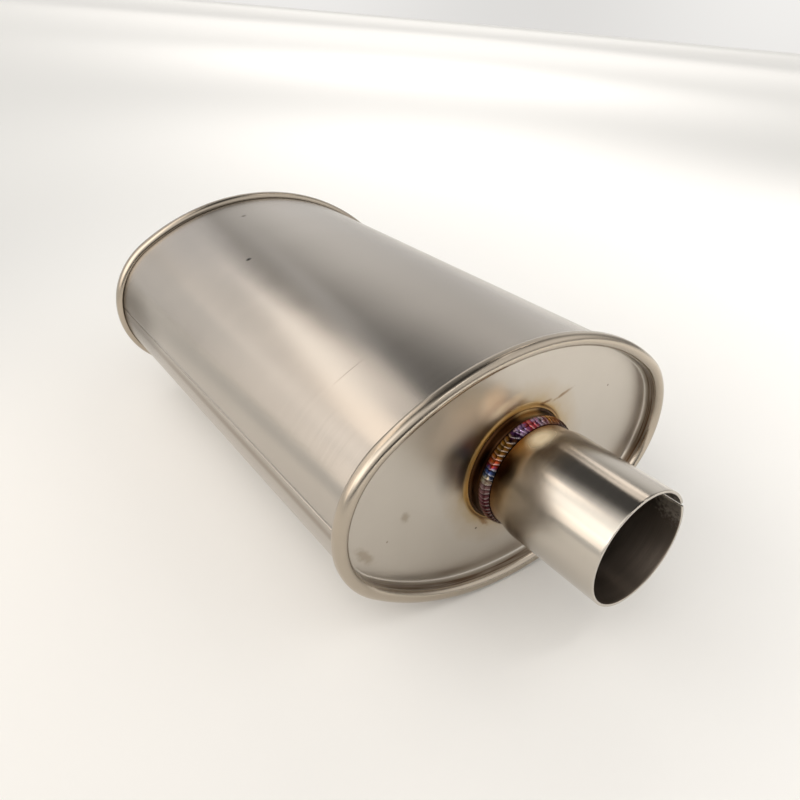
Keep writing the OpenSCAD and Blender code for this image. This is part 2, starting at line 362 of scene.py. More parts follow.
# %% Pipe stubs
slot_w = 3 * MM
slot_l = 35 * MM
slot_angle = radians(30)
slot_columns = 8
tube_columns = 184
flare_start_x = mouth_x - 67 * MM
flare_l = 12 * MM
mouth_band = 2 * MM
mouth_edge = 0.25 * MM
slot_end_x = mouth_x - slot_l + slot_w / 2
slot_turn = 2 * asin(slot_w / 2 / socket_r)


def from_slot(point):
    return atan2(point.z, point.y) - slot_angle


def saw_slot(bm):
    """Takes out the faces of the slot and rounds its closed end."""
    sawn = [f for f in bm.faces if abs(from_slot(f.calc_center_median())) < slot_turn / 2
            and f.calc_center_median().x > slot_end_x]
    bmesh.ops.delete(bm, geom=sawn, context="FACES")
    for v in bm.verts:
        aside = socket_r * sin(from_slot(v.co))
        if abs(v.co.x - slot_end_x) < TOUCHING and abs(aside) < slot_w / 2 and abs(from_slot(v.co)) < 1:
            v.co.x -= sqrt((slot_w / 2) ** 2 - aside ** 2)


def make_pipe(name, side):
    """The tube's profile, turned in two goes so that the slot gets narrow columns of its own."""
    bm = bmesh.new()
    swell = socket_r - neck_r
    flare_angle = 2 * atan(swell / flare_l)
    flare_r = flare_l / 2 / sin(flare_angle)
    last = start(bm, inner_end_x, neck_r)
    last = run(bm, last, flare_start_x, neck_r, parts=12)
    last = bend(bm, last, (flare_start_x, neck_r + flare_r, 0), flare_angle, steps=8)
    last = bend(bm, last, (flare_start_x + flare_l, socket_r - flare_r, 0), -flare_angle, steps=8)
    last = run(bm, last, slot_end_x, socket_r, parts=5)
    last = run(bm, last, mouth_x - mouth_band, socket_r, parts=8)
    run(bm, last, mouth_x, socket_r, parts=2)
    first_turn = Matrix.Rotation(slot_angle - slot_turn / 2, 3, "X")
    bmesh.ops.rotate(bm, verts=bm.verts, cent=(0, 0, 0), matrix=first_turn)
    geometry = list(bm.verts) + list(bm.edges)
    for turn, steps in ((slot_turn, slot_columns), (2 * pi - slot_turn, tube_columns)):
        spun = bmesh.ops.spin(bm, geom=geometry, cent=(0, 0, 0), axis=(1, 0, 0), angle=turn, steps=steps)
        geometry = spun["geom_last"]
    bmesh.ops.remove_doubles(bm, verts=bm.verts, dist=TOUCHING)
    saw_slot(bm)
    piece = finish_mesh(bm, name, [wall(pipe_t), soft_edge(mouth_edge)], side)
    piece.modifiers["Solidify"].material_offset = 1
    return piece


front_pipe = make_pipe("front_stub", 1)
rear_pipe = make_pipe("rear_stub", -1)
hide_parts("front_pipe")
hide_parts("rear_pipe")

# %% [markdown]
# The stub is welded to the collar by hand. Each dab of filler leaves a crescent ripple, nearly three
# millimetres from the last, all the way round. The bead is a spun bow with many steps, and every vertex is
# then raised or sunk by the ripple that it lies on. It keeps its place on the ripple as a number, so that the
# colour can paint shade into the grooves and a highlight on the crests.

# %% Outer welds
weld_l = 7 * MM
weld_swell = 1.2 * MM
ripple_pitch = 2.7 * MM
ripple_h = 0.5 * MM
ripples = round(2 * pi * neck_r / ripple_pitch)
steps_a_ripple = 10
crescent = 0.5
waver = 0.45
waver_size = 6 * MM
steepness = 1.6
sink = 0.6
weld_middle_x = tip_x + weld_l / 2


def dab_ripples(bm):
    """Raises the bead in crescents, one for each dab, and notes each point's place on its ripple."""
    raised = bm.verts.layers.float.new("raised")
    for v in bm.verts:
        if v.co.yz.length < neck_r + TOUCHING or v.co.x < tip_x + TOUCHING:
            continue
        out = Vector((0, v.co.y, v.co.z)).normalized()
        along = (v.co.x - weld_middle_x) / (weld_l / 2)
        late = crescent * along * along + noise.noise(v.co / waver_size) * waver
        phase = atan2(v.co.z, v.co.y) / (2 * pi) * ripples + late
        wave = (phase % 1) ** steepness - sink
        v[raised] = phase % 1
        v.co += (out + Vector((1, 0, 0))) * ripple_h * wave * max(0, 1 - along * along)


def make_weld(name, side):
    """A bow over the step from collar to neck, closed underneath."""
    bm = bmesh.new()
    foot = Vector((tip_x, collar_r + weld_room))
    head = Vector((tip_x + weld_l, neck_r))
    chord = head - foot
    bow_r = (chord.length_squared / 4 + weld_swell ** 2) / (2 * weld_swell)
    inward = Vector((chord.y, -chord.x)).normalized()
    centre = (foot + head) / 2 + inward * (bow_r - weld_swell)
    bow = 2 * asin(chord.length / 2 / bow_r)
    first = start(bm, *foot)
    last = bend(bm, first, (*centre, 0), -bow, steps=12)
    last = run(bm, last, tip_x, neck_r, parts=2)
    bm.edges.new((last, first))
    turn_round(bm, ripples * steps_a_ripple)
    dab_ripples(bm)
    return finish_mesh(bm, name, side=side)


front_weld = make_weld("front_weld_bead", 1)
rear_weld = make_weld("rear_weld_bead", -1)
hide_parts("front_pipe_weld")
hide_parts("rear_pipe_weld")
print(ripples, "ripples in each weld")

# %% [markdown]
# Colours are read as the hex values of a paint chart and turned to the linear light that shaders reckon
# with. One small function adds a node, sets it and links what is given, and others start a bare material,
# space the colours of a ramp and put a material on a piece.


# %% Colour and node helpers
def chart(code):
    values = [int(code[at:at + 2], 16) / 255 for at in (1, 3, 5)]
    return (*(value / 12.92 if value <= 0.04045 else ((value + 0.055) / 1.055) ** 2.4 for value in values), 1)


def add(tree, kind, links=None, **settings):
    """Adds a node. A link's key is the name or number of an input, its value an output or a constant."""
    node = tree.nodes.new(kind)
    for key, value in settings.items():
        setattr(node, key, value)
    for key, value in (links or {}).items():
        if isinstance(value, bpy.types.NodeSocket):
            tree.links.new(value, node.inputs[key])
        else:
            node.inputs[key].default_value = value
    return node


def bare(name, colour, roughness, metallic=1.0, anisotropy=0.0):
    """A plain surface with the metal's usual values, which other nodes then colour and score.

    The quarter turn draws mirror images out across the grit lines and not along them.
    """
    material = bpy.data.materials.new(name)
    material.use_nodes = True
    tree = material.node_tree
    tree.nodes.clear()
    surface = add(tree, "ShaderNodeBsdfPrincipled", {"Base Color": chart(colour), "Metallic": metallic,
                                                     "Roughness": roughness, "Anisotropic": anisotropy,
                                                     "Anisotropic Rotation": 0.25})
    add(tree, "ShaderNodeOutputMaterial", {"Surface": surface.outputs[0]})
    return material, tree, surface


def space_films(stops, films, first, last):
    """Fills a ramp: each film of colour at its own place between the first place and the last."""
    while len(stops) < len(films):
        stops.new(1.0)
    for stop, (where, colour) in zip(stops, films):
        stop.position = (where - first) / (last - first)
        stop.color = chart(colour)


def dress(piece, material):
    piece.data.materials.clear()
    piece.data.materials.append(material)


# %% [markdown]
# Brushed steel is scored by a belt or a polishing wheel. On every piece here the lines run round the X axis,
# so the mirror image of a lamp is drawn out lengthways into a long soft band. Real grit lines are finer than
# a pixel, so they are drawn coarser, at a third of a millimetre. Broad clouds of tone are the traces of
# handling, and a long shallow swell in the relief lets the reflections wander as they do on thin sheet.

# %% Brushed steel
grit_pitch = 0.35 * MM
streak_length = 40 * MM
cloud_size = 45 * MM
swell_length = 55 * MM
cloud_share = 0.45
wear_low = 0.3
wear_high = 0.7


def brushed(tree, metal, dark, light, smoothest, roughest, grit_relief, swell_relief):
    """Scores the metal and returns the places on it and its colour."""
    place = add(tree, "ShaderNodeTexCoord").outputs["Object"]
    along_streaks = (1 / grit_pitch, 1 / streak_length, 1 / streak_length)
    drawn_out = add(tree, "ShaderNodeMapping", {"Vector": place, "Scale": along_streaks})
    grit = add(tree, "ShaderNodeTexNoise", {"Vector": drawn_out.outputs[0], "Scale": 1.0, "Detail": 3.0})
    cloud = add(tree, "ShaderNodeTexNoise", {"Vector": place, "Scale": 1 / cloud_size, "Detail": 4.0})
    wear = add(tree, "ShaderNodeMix", {"Factor": cloud_share, "A": grit.outputs["Fac"],
                                       "B": cloud.outputs["Fac"]})
    tone = add(tree, "ShaderNodeMix", {"Factor": wear.outputs[0], 6: chart(dark), 7: chart(light)},
               data_type="RGBA")
    rough = add(tree, "ShaderNodeMapRange", {"Value": wear.outputs[0], "From Min": wear_low,
                                             "From Max": wear_high, "To Min": smoothest, "To Max": roughest})
    swell = add(tree, "ShaderNodeTexNoise", {"Vector": place, "Scale": 1 / swell_length, "Detail": 1.0})
    wavy = add(tree, "ShaderNodeBump", {"Height": swell.outputs["Fac"], "Strength": 1.0,
                                        "Distance": swell_relief})
    scored = add(tree, "ShaderNodeBump", {"Height": grit.outputs["Fac"], "Strength": 1.0,
                                          "Distance": grit_relief, "Normal": wavy.outputs[0]})
    tangent = add(tree, "ShaderNodeTangent", direction_type="RADIAL", axis="X")
    tree.links.new(tone.outputs[2], metal.inputs["Base Color"])
    tree.links.new(rough.outputs[0], metal.inputs["Roughness"])
    tree.links.new(scored.outputs[0], metal.inputs["Normal"])
    tree.links.new(tangent.outputs[0], metal.inputs["Tangent"])
    return place, tone.outputs[2]


# %% [markdown]
# Stains, scratches and heat lie on top of the steel. A stain is a soft ellipse on the surface whose edge is
# frayed by noise, and each is laid over the colour below it. Heat draws rings round the weld instead, from
# brown through gold to pale straw, as the oxide film gets thinner away from the bead.

# %% Stains and heat
def blot(tree, place, centre, size, turn=0.0, fray=0.6, grain=3.0):
    """How strongly a stain covers each place. Centre, size and grain in millimetres, turn in degrees."""
    local = add(tree, "ShaderNodeMapping", {"Vector": place, "Location": Vector(centre) * MM,
                                            "Rotation": (radians(turn), 0, 0), "Scale": Vector(size) * MM},
                vector_type="TEXTURE")
    reach = add(tree, "ShaderNodeVectorMath", {0: local.outputs[0]}, operation="LENGTH")
    frayed = add(tree, "ShaderNodeTexNoise", {"Vector": place, "Scale": 1 / (grain * MM), "Detail": 3.0})
    edge = add(tree, "ShaderNodeMath", {0: frayed.outputs["Fac"], 1: fray, 2: reach.outputs["Value"]},
               operation="MULTIPLY_ADD")
    cover = add(tree, "ShaderNodeMapRange", {"Value": edge.outputs[0], "From Min": 1 + fray / 2,
                                             "From Max": 0.2 + fray / 2, "To Min": 0.0, "To Max": 1.0},
                interpolation_type="SMOOTHSTEP")
    return cover.outputs[0]


def lay_over(tree, below, colour, cover, strength=1.0, blend="MULTIPLY"):
    """A stain's colour over the colour below it. Most stains only darken; MIX also covers or brightens."""
    amount = add(tree, "ShaderNodeMath", {0: cover, 1: strength}, operation="MULTIPLY")
    mixed = add(tree, "ShaderNodeMix", {"Factor": amount.outputs[0], 6: below, 7: chart(colour)},
                data_type="RGBA", blend_type=blend)
    return mixed.outputs[2]


def rings(tree, below, reach, start_mm, end_mm, films):
    """Oxide films by distance: pairs of a distance in millimetres and the film's colour."""
    span = add(tree, "ShaderNodeMapRange", {"Value": reach, "From Min": start_mm * MM,
                                            "From Max": end_mm * MM})
    ramp = add(tree, "ShaderNodeValToRGB", {"Fac": span.outputs[0]})
    space_films(ramp.color_ramp.elements, films, start_mm, end_mm)
    mixed = add(tree, "ShaderNodeMix", {"Factor": 1.0, 6: below, 7: ramp.outputs["Color"]},
                data_type="RGBA", blend_type="MULTIPLY")
    return mixed.outputs[2]


def wander(tree, place, reach, amount, grain):
    """Lets a distance waver, so that rings of heat aren't drawn with compasses."""
    drift = add(tree, "ShaderNodeTexNoise", {"Vector": place, "Scale": 1 / (grain * MM), "Detail": 2.0})
    moved = add(tree, "ShaderNodeMath", {0: drift.outputs["Fac"], 1: amount * MM, 2: reach},
                operation="MULTIPLY_ADD")
    return moved.outputs[0]


# %% [markdown]
# The shell is stainless sheet in a fine satin finish. Its steel is painted a little greyer along the folded
# seam and darker on the left towards the far end, both as painted shade on that lower side. It has one dark
# speck with a fainter one behind it, and a thin scratch near the front rim.

# %% Satin shell
shell_steel, tree, metal = bare("satin stainless sheet", "#b8b1a9", 0.24, anisotropy=0.75)
place, colour = brushed(tree, metal, "#aea79f", "#c2bbb2", 0.21, 0.27, 0.004 * MM, 0.35 * MM)
# Painted shade: a greyer band along the folded seam.
seam_shade = blot(tree, place, (0, -115, -5.5), (400, 4, 4.5), fray=0.1)
colour = lay_over(tree, colour, "#cfc6bd", seam_shade)
# Painted shade: a broad darker patch on the lower left towards the far end.
shaded = blot(tree, place, (-135, -116, 2), (75, 14, 34), fray=0.2, grain=20)
colour = lay_over(tree, colour, "#a8a29a", shaded)
speck = blot(tree, place, (-50, -59.7, 60.8), (2.2, 2.6, 2.6), fray=0.2, grain=1)
colour = lay_over(tree, colour, "#4c4741", speck)
faint = blot(tree, place, (-118, -31.1, 69.6), (2.2, 2.6, 2.6), fray=0.3, grain=1)
colour = lay_over(tree, colour, "#aaa49e", faint)
scratch = blot(tree, place, (101, -78, 51), (0.3, 14, 14), fray=0.15, grain=4)
colour = lay_over(tree, colour, "#a89e92", scratch, 0.7)
tree.links.new(colour, metal.inputs["Base Color"])
dress(shell, shell_steel)
print(shell_steel.name, len(tree.nodes), "nodes")

# %% [markdown]
# The caps are pressed from duller sheet. The press leaves the flat face matte, the rolling machine polishes
# the curled edge, and its inner wheel leaves brown streaks along the recess wall. The recess wall is also
# darkened all round as painted shade. The numbers that the cap's points carry say where each begins.

# %% Pressed caps
wheel_pitch = 0.9 * MM
wheel_streak = 30 * MM
polished_roughness = 0.22
cap_steel, tree, metal = bare("pressed stainless sheet", "#cac4ba", 0.42, anisotropy=0.2)
place, colour = brushed(tree, metal, "#b9b2a8", "#cbc4ba", 0.3, 0.38, 0.003 * MM, 0.4 * MM)
rolled = add(tree, "ShaderNodeAttribute", attribute_name="rolled").outputs["Fac"]
matte = metal.inputs["Roughness"].links[0].from_socket
polish = add(tree, "ShaderNodeMix", {"Factor": rolled, "A": matte, "B": polished_roughness})
tree.links.new(polish.outputs[0], metal.inputs["Roughness"])
colour = lay_over(tree, colour, "#ece6de", rolled)
# Painted shade: the recess wall is darkened all round, at least halfway, and deeper along the wheel's brown
# streaks.
wall_shade_and_highlight = add(tree, "ShaderNodeAttribute", attribute_name="wall_shade_and_highlight").outputs["Fac"]
along_wheel = (1 / wheel_pitch, 1 / wheel_streak, 1 / wheel_streak)
streak_at = add(tree, "ShaderNodeMapping", {"Vector": place, "Scale": along_wheel})
streaks = add(tree, "ShaderNodeTexNoise", {"Vector": streak_at.outputs[0], "Scale": 1.0, "Detail": 2.0})
streaked = add(tree, "ShaderNodeMapRange", {"Value": streaks.outputs["Fac"], "From Min": 0.35,
                                            "From Max": 0.6, "To Min": 0.5, "To Max": 1.0})
recess_streaks_and_shade = add(tree, "ShaderNodeMath", {0: wall_shade_and_highlight, 1: streaked.outputs[0]}, operation="MULTIPLY")
colour = lay_over(tree, colour, "#86705c", recess_streaks_and_shade.outputs[0])
print(cap_steel.name, len(tree.nodes), "nodes before the heat and the marks")

# %% [markdown]
# The weld's heat has coloured the steel in rings: brown on the collar and at its foot, straw on the low
# crest, and then wider and paler gold ones on the face, which waver as heat does in sheet. The brown in the
# hollow at the collar's foot is heat tint and painted shade together. The hollow is painted darker still on
# the collar's left as painted shade, and a golden film over the collar's top is heat tint and a painted
# highlight.

# %% Heat round the collars
flat_place = add(tree, "ShaderNodeVectorMath", {0: place, 1: (0, 1, 1)}, operation="MULTIPLY")
from_axis = add(tree, "ShaderNodeVectorMath", {0: flat_place.outputs[0]}, operation="LENGTH").outputs["Value"]
# The dark brown by the collar is heat tint and also painted shade in the hollow.
colour = rings(tree, colour, from_axis, 30, 37, [
    (31, "#4a3424"), (32.9, "#5a4230"), (33.7, "#f6e4c0"), (34.5, "#cdb080"), (35.6, "#dccba8"),
    (37, "#ffffff")])
wavering = wander(tree, place, from_axis, 8, 9)
colour = rings(tree, colour, wavering, 34, 56, [
    (34, "#ffffff"), (38, "#e6cc9e"), (41, "#ecdcc0"), (46, "#f6efe4"), (56, "#ffffff")])
for end in (1, -1):
    # Painted shade: the hollow left of the collar is darkened further.
    hollow = blot(tree, place, (end * 154, -27, 8), (4.4, 6.4, 26), fray=0.2, grain=6)
    colour = lay_over(tree, colour, "#3c2c20", hollow)
    # Heat tint and a painted highlight: a golden film over the collar's top.
    golden = blot(tree, place, (end * 152, 3, 32), (4.5, 16, 4), fray=0.3, grain=5)
    colour = lay_over(tree, colour, "#dcb67c", golden, 0.7, "MIX")
print(len(tree.nodes), "nodes with the heat")

# %% [markdown]
# The marks are the ones on the front cap: burnt streaks, flecks and the smudges of handling. A zone left of
# the collar is painted greyer and darker as painted shade, and three pale smears above it are painted
# reflections of the golden collar and neck. The smears take away from the metallic share too, so that their
# pale colour shows as light.

# %% Marks on the front cap
face_mm = face_x / MM
for centre, size, turn, tint, strength in (
        ((face_mm, 15.6, 33.2), (3, 6.5, 1.5), 6, "#9a7448", 0.8),
        ((face_mm, 29, 34.7), (3, 10, 1.4), 18, "#b49a7c", 0.8),
        ((face_mm, 68, 30.8), (3, 1, 1), 0, "#8c8078", 0.9),
        ((face_mm, -17, -33), (3, 8, 2), -45, "#b48c5c", 0.7),
        ((face_mm, -21.5, -36.2), (3, 1.2, 1), 0, "#5c4c40", 0.9),
        ((face_mm, -72.8, -8.8), (3, 3.5, 4.5), 20, "#d0c6ba", 0.7),
        ((face_mm, -82.7, -19.7), (3, 1, 1), 0, "#b4a89c", 0.8),
        ((face_mm, -96, -23), (4, 11, 4), -48, "#d4cabe", 0.7)):
    stain = blot(tree, place, centre, size, turn, fray=0.9, grain=2.5)
    colour = lay_over(tree, colour, tint, stain, strength)
# Painted shade: a greyer, darker zone on the face left of the collar.
for centre, size, turn, tint in (((face_mm, -42, 15), (4, 15, 26), -14, "#aaaaaf"),
                                 ((face_mm, -37, 6), (4, 6, 16), -8, "#b8b8bc")):
    face_shade = blot(tree, place, centre, size, turn, fray=0.2, grain=10)
    colour = lay_over(tree, colour, tint, face_shade, 0.85)
bare_share = 1.0
# Painted reflections: three pale golden smears above it, made less metallic so that they show bright.
for centre, size, turn, tint in (((face_mm, -44, 36), (5, 26, 17), 24, "#c6b49e"),
                                 ((face_mm, -23, 42), (5, 13, 15), 20, "#e8ccaa"),
                                 ((face_mm, -14, 38), (5, 16, 5), 22, "#ecd6b2")):
    painted_glow = blot(tree, place, centre, size, turn, fray=0.2, grain=8)
    colour = lay_over(tree, colour, tint, painted_glow, 0.7, "MIX")
    bare_share = add(tree, "ShaderNodeMath", {0: painted_glow, 1: -0.6, 2: bare_share}, operation="MULTIPLY_ADD",
                     use_clamp=True).outputs[0]
tree.links.new(bare_share, metal.inputs["Metallic"])
tree.links.new(colour, metal.inputs["Base Color"])
dress(front_cap, cap_steel)
dress(rear_cap, cap_steel)
print(cap_steel.name, len(tree.nodes), "nodes in all")

# %% [markdown]
# The stubs are drawn tube, polished after they were swelled, and are the brightest steel on the muffler. The
# neck is brown and gold where the weld's heat ran along it. One side of it is darkened, heat scorch and
# painted shade together, and a pale patch on top is a painted highlight. Inside, the wall is as it was drawn:
# dull, brown and scored, with one pale patch by the front mouth that is a painted highlight.

# %% Polished stubs
pipe_steel, tree, metal = bare("polished stainless tube", "#c0b8ad", 0.2, anisotropy=0.6)
place, colour = brushed(tree, metal, "#b9b2a8", "#cac3b9", 0.16, 0.23, 0.003 * MM, 0.25 * MM)
station = add(tree, "ShaderNodeSeparateXYZ", {0: place}).outputs["X"]
either_end = add(tree, "ShaderNodeMath", {0: station}, operation="ABSOLUTE").outputs[0]
wavering = wander(tree, place, either_end, 5, 14)
colour = rings(tree, colour, wavering, 158, 200, [
    (158, "#6a3c2c"), (163, "#8a5634"), (165, "#c08848"), (168, "#dcb478"), (173, "#e2cba8"),
    (180, "#e6dccd"), (188, "#f2ede6"), (200, "#ffffff")])
bare_share = 1.0
for end in (1, -1):
    # Heat scorch and painted shade: one side of the neck darkened.
    scorch_and_shade = blot(tree, place, (end * 165, -26, 12), (12, 14, 28), fray=0.5, grain=12)
    colour = lay_over(tree, colour, "#4a3628", scorch_and_shade)
    # Painted highlight: a pale golden patch on the neck's top, made less metallic so that it shows bright.
    painted_glow = blot(tree, place, (end * 170, -8, 30), (9, 14, 8), fray=0.3, grain=8)
    colour = lay_over(tree, colour, "#fbe8c4", painted_glow, 0.95, "MIX")
    bare_share = add(tree, "ShaderNodeMath", {0: painted_glow, 1: -0.75, 2: bare_share},
                     operation="MULTIPLY_ADD").outputs[0]
tree.links.new(bare_share, metal.inputs["Metallic"])
tree.links.new(colour, metal.inputs["Base Color"])
print(pipe_steel.name, len(tree.nodes), "nodes")

raw_wall, tree, metal = bare("drawn tube wall", "#5c5148", 0.4, anisotropy=0.4)
place, colour = brushed(tree, metal, "#665b51", "#94887c", 0.3, 0.5, 0.02 * MM, 0.2 * MM)
# Painted highlight: a pale patch on the inner wall by the front mouth.
wall_shade_and_highlight = blot(tree, place, (226, 27, 13), (13, 8, 15), fray=1.6, grain=1.6)
colour = lay_over(tree, colour, "#e2d8cc", wall_shade_and_highlight, 0.8, "MIX")
tree.links.new(colour, metal.inputs["Base Color"])
for piece in (front_pipe, rear_pipe):
    dress(piece, pipe_steel)
    piece.data.materials.append(raw_wall)
print(raw_wall.name, len(tree.nodes), "nodes")

# %% [markdown]
# A weld cools through all the colours of its oxide film, and where the welder stopped and started again they
# repeat. So the colour goes by the angle round the pipe, wavering from dab to dab, and darkens towards both
# edges of the bead. The grooves between the dabs are darkened as painted shade, and their crests are
# lightened as a painted highlight. The filler is smooth and glossy.

# %% Heat-coloured welds
weld_metal, tree, metal = bare("heat-coloured weld", "#8a5f4c", 0.2)
place = add(tree, "ShaderNodeTexCoord").outputs["Object"]
parts = add(tree, "ShaderNodeSeparateXYZ", {0: place}).outputs
turned = add(tree, "ShaderNodeMath", {0: parts["Z"], 1: parts["Y"]}, operation="ARCTAN2").outputs[0]
fleck = add(tree, "ShaderNodeTexNoise", {"Vector": place, "Scale": 1 / (2.2 * MM), "Detail": 1.0})
unsteady = add(tree, "ShaderNodeMath", {0: fleck.outputs["Fac"], 1: radians(16), 2: turned},
               operation="MULTIPLY_ADD").outputs[0]
share = add(tree, "ShaderNodeMath", {0: unsteady, 1: 1 / (2 * pi)}, operation="MULTIPLY").outputs[0]
round_once = add(tree, "ShaderNodeMath", {0: share}, operation="FRACT").outputs[0]
spectrum = add(tree, "ShaderNodeValToRGB", {"Fac": round_once})
films = [(0, "#8f6a50"), (34, "#b59b88"), (52, "#9a7f6c"), (60, "#7a4a32"), (68, "#8a5430"), (72, "#e08f36"),
         (86, "#f6bc5c"), (91, "#c88ab0"), (95, "#e2dcf2"), (100, "#b8a0e0"), (104, "#e0566c"),
         (111, "#d85a62"), (115, "#7a5cb0"), (121, "#c8b8f0"), (125, "#4c2c66"), (131, "#40242c"),
         (138, "#8a6a2c"), (150, "#6e5222"), (156, "#9c6028"), (162, "#a83c28"), (167, "#2c4484"),
         (173, "#4a6494"), (177, "#d0d4bc"), (183, "#9c8890"), (198, "#7c4a5c"), (212, "#6c3440"),
         (226, "#8a4026"), (246, "#a8845c"), (300, "#6a4a5c")]
space_films(spectrum.color_ramp.elements, films, 0, 360)
across = add(tree, "ShaderNodeMath", {0: parts["X"]}, operation="ABSOLUTE").outputs[0]
foot_mm = tip_x / MM
head_mm = (tip_x + weld_l) / MM
colour = rings(tree, spectrum.outputs["Color"], across, foot_mm, head_mm, [
    (foot_mm, "#6c5044"), (foot_mm + 1.0, "#e8ddd6"), (foot_mm + 2.4, "#ffffff"),
    (foot_mm + 4.0, "#d8c4b8"), (head_mm, "#5c4034")])
raised = add(tree, "ShaderNodeAttribute", attribute_name="raised").outputs["Fac"]
# Painted shade in the grooves between the dabs.
sunk = add(tree, "ShaderNodeMapRange", {"Value": raised, "From Min": 0.45, "From Max": 0.05})
colour = lay_over(tree, colour, "#382a24", sunk.outputs[0], 0.8)
# Painted highlight on the crests of the dabs.
lit = add(tree, "ShaderNodeMapRange", {"Value": raised, "From Min": 0.6, "From Max": 0.95})
colour = lay_over(tree, colour, "#e8e2dc", lit.outputs[0], 0.25, "MIX")
grainy = add(tree, "ShaderNodeBump", {"Height": fleck.outputs["Fac"], "Strength": 1.0, "Distance": 0.05 * MM})
gloss = add(tree, "ShaderNodeMapRange", {"Value": fleck.outputs["Fac"], "To Min": 0.14, "To Max": 0.3})
tree.links.new(colour, metal.inputs["Base Color"])
tree.links.new(gloss.outputs[0], metal.inputs["Roughness"])
tree.links.new(grainy.outputs[0], metal.inputs["Normal"])
dress(front_weld, weld_metal)
dress(rear_weld, weld_metal)
print(weld_metal.name, len(films), "films of oxide")

# %% [markdown]
# Inside, nobody polished anything. The core tube and the lining have the dull mill finish that the rolls
# leave, with a brown film from the welds. They are CAD shapes and only get a material.

# %% Mill-finish steel
core_steel, tree, metal = bare("mill-finish steel", "#8c8680", 0.4)
place, colour = brushed(tree, metal, "#6f665d", "#958c82", 0.34, 0.5, 0.006 * MM, 0.2 * MM)
grime = add(tree, "ShaderNodeTexNoise", {"Vector": place, "Scale": 1 / (14 * MM), "Detail": 5.0})
colour = lay_over(tree, colour, "#8a7462", grime.outputs["Fac"], 0.9)
tree.links.new(colour, metal.inputs["Base Color"])
for node in ("core_tube", "front_core_weld", "rear_core_weld", "inner_shell"):
    dress(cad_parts[node], core_steel)

# %% [markdown]
# Steel wool is a felt of fine curved threads, and glass-fibre mat is a thicker, paler one. A strand is far
# thinner than a pixel, so both are drawn as two crossing streaky noises, at the scale of a bundle of
# strands. Their relief catches the light as the bundles do.

# %% Wool and mat
def felted(tree, surface, dark, light, strand, relief):
    place = add(tree, "ShaderNodeTexCoord").outputs["Object"]
    layers = []
    for turn in (25, -40):
        combed = add(tree, "ShaderNodeMapping", {"Vector": place,
                                                 "Rotation": (radians(turn), radians(turn), 0),
                                                 "Scale": (1 / (8 * strand), 1 / strand, 1 / strand)})
        layers.append(add(tree, "ShaderNodeTexNoise", {"Vector": combed.outputs[0], "Scale": 1.0,
                                                       "Detail": 4.0, "Distortion": 0.8}))
    crossed = add(tree, "ShaderNodeMix", {"Factor": 0.5, "A": layers[0].outputs["Fac"],
                                          "B": layers[1].outputs["Fac"]})
    spread = add(tree, "ShaderNodeMapRange", {"Value": crossed.outputs[0], "From Min": 0.35,
                                              "From Max": 0.65})
    tone = add(tree, "ShaderNodeMix", {"Factor": spread.outputs[0], 6: chart(dark), 7: chart(light)},
               data_type="RGBA")
    raised = add(tree, "ShaderNodeBump", {"Height": spread.outputs[0], "Strength": 1.0, "Distance": relief})
    tree.links.new(tone.outputs[2], surface.inputs["Base Color"])
    tree.links.new(raised.outputs[0], surface.inputs["Normal"])


wool_metal, tree, surface = bare("steel wool", "#7c7974", 0.5)
felted(tree, surface, "#3c3834", "#b0aaa2", 0.3 * MM, 0.3 * MM)
dress(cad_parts["steel_wool"], wool_metal)
glass_mat, tree, surface = bare("glass-fibre mat", "#ddd6c4", 0.9, metallic=0.0)
felted(tree, surface, "#c2b9a2", "#efe9d8", 0.5 * MM, 0.5 * MM)
for node in ("packing_wrap", "packing_left", "packing_right"):
    dress(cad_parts[node], glass_mat)
print("inside pieces dressed")

# %% [markdown]
# The muffler lies on pale card, far larger than the picture. The card is only a floor and is left plain.

# %% Floor
floor_reach = 60
floor_bm = bmesh.new()
bmesh.ops.create_grid(floor_bm, x_segments=1, y_segments=1, size=floor_reach)
bmesh.ops.translate(floor_bm, verts=floor_bm.verts, vec=(0, 0, cap_low.z))
floor_mesh = bpy.data.meshes.new("floor")
floor_bm.to_mesh(floor_mesh)
floor_bm.free()
floor = bpy.data.objects.new("floor", floor_mesh)
bpy.context.scene.collection.objects.link(floor)
card, tree, surface = bare("pale card", "#f6f5f2", 0.9, metallic=0.0)
dress(floor, card)
print("floor at", round(cap_low.z / MM, 1), "mm")

# %% [markdown]
# Steel shows its surroundings more than itself, so the light is laid out as what the steel should mirror. A
# warm softbox stands close at the camera's left. Its cloth glows unevenly, so it is built as a small quilt of
# rectangular lamps, given by their columns, their rows and how bright each one is. Two smaller softboxes at
# the back right give the thin bright band along the top of the pipe, and the dark gap between them and the
# quilt is what makes the pipe look round and polished.

# %% Softboxes
def direction(az, el):
    az, el = radians(az), radians(el)
    return Vector((cos(el) * cos(az), cos(el) * sin(az), sin(el)))


def lamp(name, centre, away, width, height, glow, colour, beam=180):
    """A rectangular lamp. Its glow is how bright its cloth looks, and its beam the angle it shines into."""
    lamp_data = bpy.data.lights.new(name, "AREA")
    lamp_data.shape = "RECTANGLE"
    lamp_data.size = width
    lamp_data.size_y = height
    lamp_data.energy = glow * pi * width * height
    lamp_data.spread = radians(beam)
    lamp_data.color = chart(colour)[:3]
    piece = bpy.data.objects.new(name, lamp_data)
    bpy.context.scene.collection.objects.link(piece)
    piece.location = centre
    piece.rotation_euler = away.to_track_quat("Z", "Y").to_euler()
    piece.visible_camera = False


